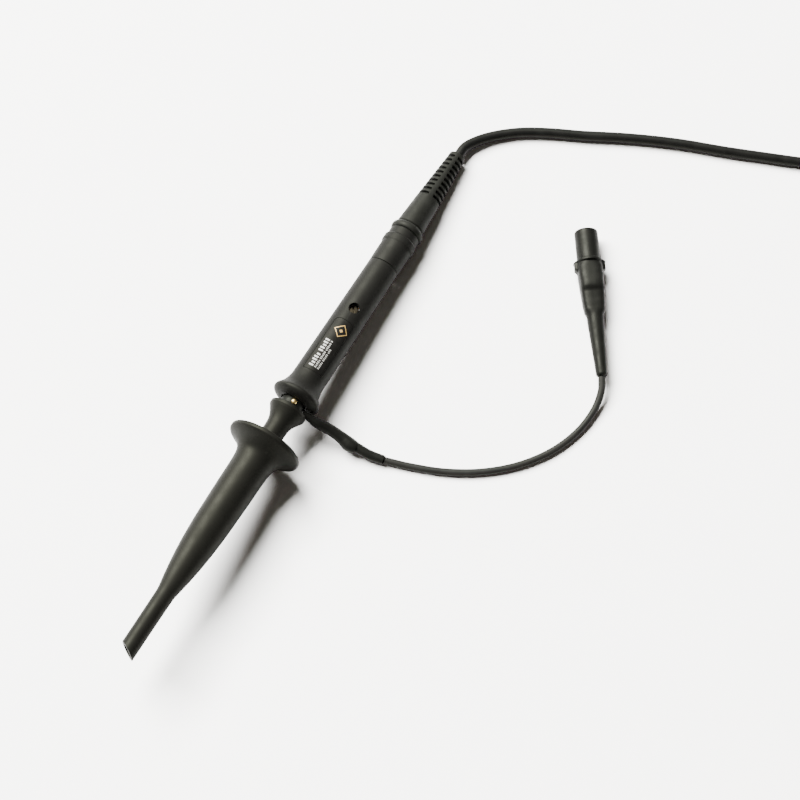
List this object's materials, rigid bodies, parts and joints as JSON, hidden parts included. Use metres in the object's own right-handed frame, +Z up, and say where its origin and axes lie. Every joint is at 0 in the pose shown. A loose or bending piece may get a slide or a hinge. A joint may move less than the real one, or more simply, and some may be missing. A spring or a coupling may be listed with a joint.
{
  "type": "oscilloscope probe",
  "caption": "Slim passive oscilloscope probe with a retractable hook tip, side ground lead with crocodile clip, coiled coaxial cable and bayonet plug.",
  "frame": {"origin": "on the table, under the middle of the probe (from nozzle end to the strain relief's end), cords and lead not counted", "axes": "+X along the probe towards its hook tip (the probe's own axis rises 4.17 degrees towards the tip), +Z up from the table"},
  "size_m": [0.2353, 0.1752, 0.021],
  "materials": {
    "sleeve_black": "moulded ABS, semi-gloss black, lightly textured",
    "body_black": "moulded ABS, satin black",
    "label": "printed matt label panel",
    "grey_plastic": "moulded nylon, dark grey",
    "rubber": "soft PVC, matt black",
    "lead_rubber": "soft PVC, matt black",
    "cable_black": "PVC cable jacket, satin black",
    "white_plastic": "off-white insulator",
    "board": "green glass-epoxy board",
    "resistor": "blue lacquered resistor",
    "nickel": "nickel-plated brass",
    "bright_metal": "bright plated spring steel",
    "brass": "turned brass",
    "gold": "gold-plated contact",
    "gasket": "silicone gasket"
  },
  "bodies": {
    "probe": {"front_body": "body_black", "rear_body": "body_black", "label_plate": "label", "marker_ring": "rubber", "strain_relief": "rubber", "plug_boot": "rubber", "coil_tie": "rubber", "clip_boot": "lead_rubber", "lead_sleeve": "lead_rubber", "ground_arm": "lead_rubber", "probe_cable": "cable_black", "cable_coil": "cable_black", "cable_tail": "cable_black", "cable_core": "cable_black", "plug_core": "cable_black", "ground_wire": "cable_black", "lead_core": "cable_black", "tip_insulator": "white_plastic", "trimmer_body": "white_plastic", "plug_insulator": "white_plastic", "circuit_board": "board", "tip_resistor": "resistor", "nose_barrel": "nickel", "shield_tube": "nickel", "cable_crimp": "nickel", "plug_body": "nickel", "plug_ground_sleeve": "nickel", "plug_ferrule": "nickel", "ground_ring": "bright_metal", "switch_housing": "bright_metal", "clip_lower_jaw": "bright_metal", "clip_pin": "bright_metal", "clip_spring": "bright_metal", "clip_crimp": "bright_metal", "plug_spring_washer": "bright_metal", "probe_needle": "brass", "plug_pin": "gold", "plug_gasket": "gasket"},
    "hook_tip": {"hook_carrier": "sleeve_black", "contact_socket": "brass", "hook_wire": "bright_metal", "hook_spring": "bright_metal"},
    "sleeve": {"hook_sleeve": "sleeve_black", "retaining_bush": "grey_plastic"},
    "trimmer": {"trimmer_screw": "brass"},
    "switch": {"switch_slider": "grey_plastic"},
    "coupling_nut": {"plug_nut": "nickel"},
    "clip_jaw": {"clip_upper_jaw": "bright_metal"}
  },
  "joints": [
    {"name": "hook_pull_off", "type": "slide", "parent": "probe", "child": "hook_tip", "axis": [0.9974, 0, 0.0726], "range_m": [0, 0.032]},
    {"name": "sleeve_pull_back", "type": "slide", "parent": "hook_tip", "child": "sleeve", "axis": [-0.9974, 0, -0.0726], "range_m": [0, 0.0062], "stiffness_N_per_m": 250, "springref_m": -0.004},
    {"name": "trimmer_turn", "type": "hinge", "parent": "probe", "child": "trimmer", "pos_m": [-0.02698, 0.00042, 0.01011], "axis": [-0.0719, 0.1392, 0.9877], "continuous": true},
    {"name": "attenuation_switch", "type": "slide", "parent": "probe", "child": "switch", "axis": [0.9974, 0, 0.0726], "range_m": [0, 0.0025]},
    {"name": "nut_turn", "type": "hinge", "parent": "probe", "child": "coupling_nut", "pos_m": [-0.082, 0.1575, 0.00725], "axis": [1, 0, 0], "continuous": true},
    {"name": "clip_open", "type": "hinge", "parent": "probe", "child": "clip_jaw", "pos_m": [-0.07206, 0.05067, 0.0037], "axis": [-0.5519, 0.8339, 0], "range_deg": [0, 7], "stiffness_Nm_per_rad": 0.02, "springref_deg": -17.19, "deforming": ["clip_spring"]}
  ]
}
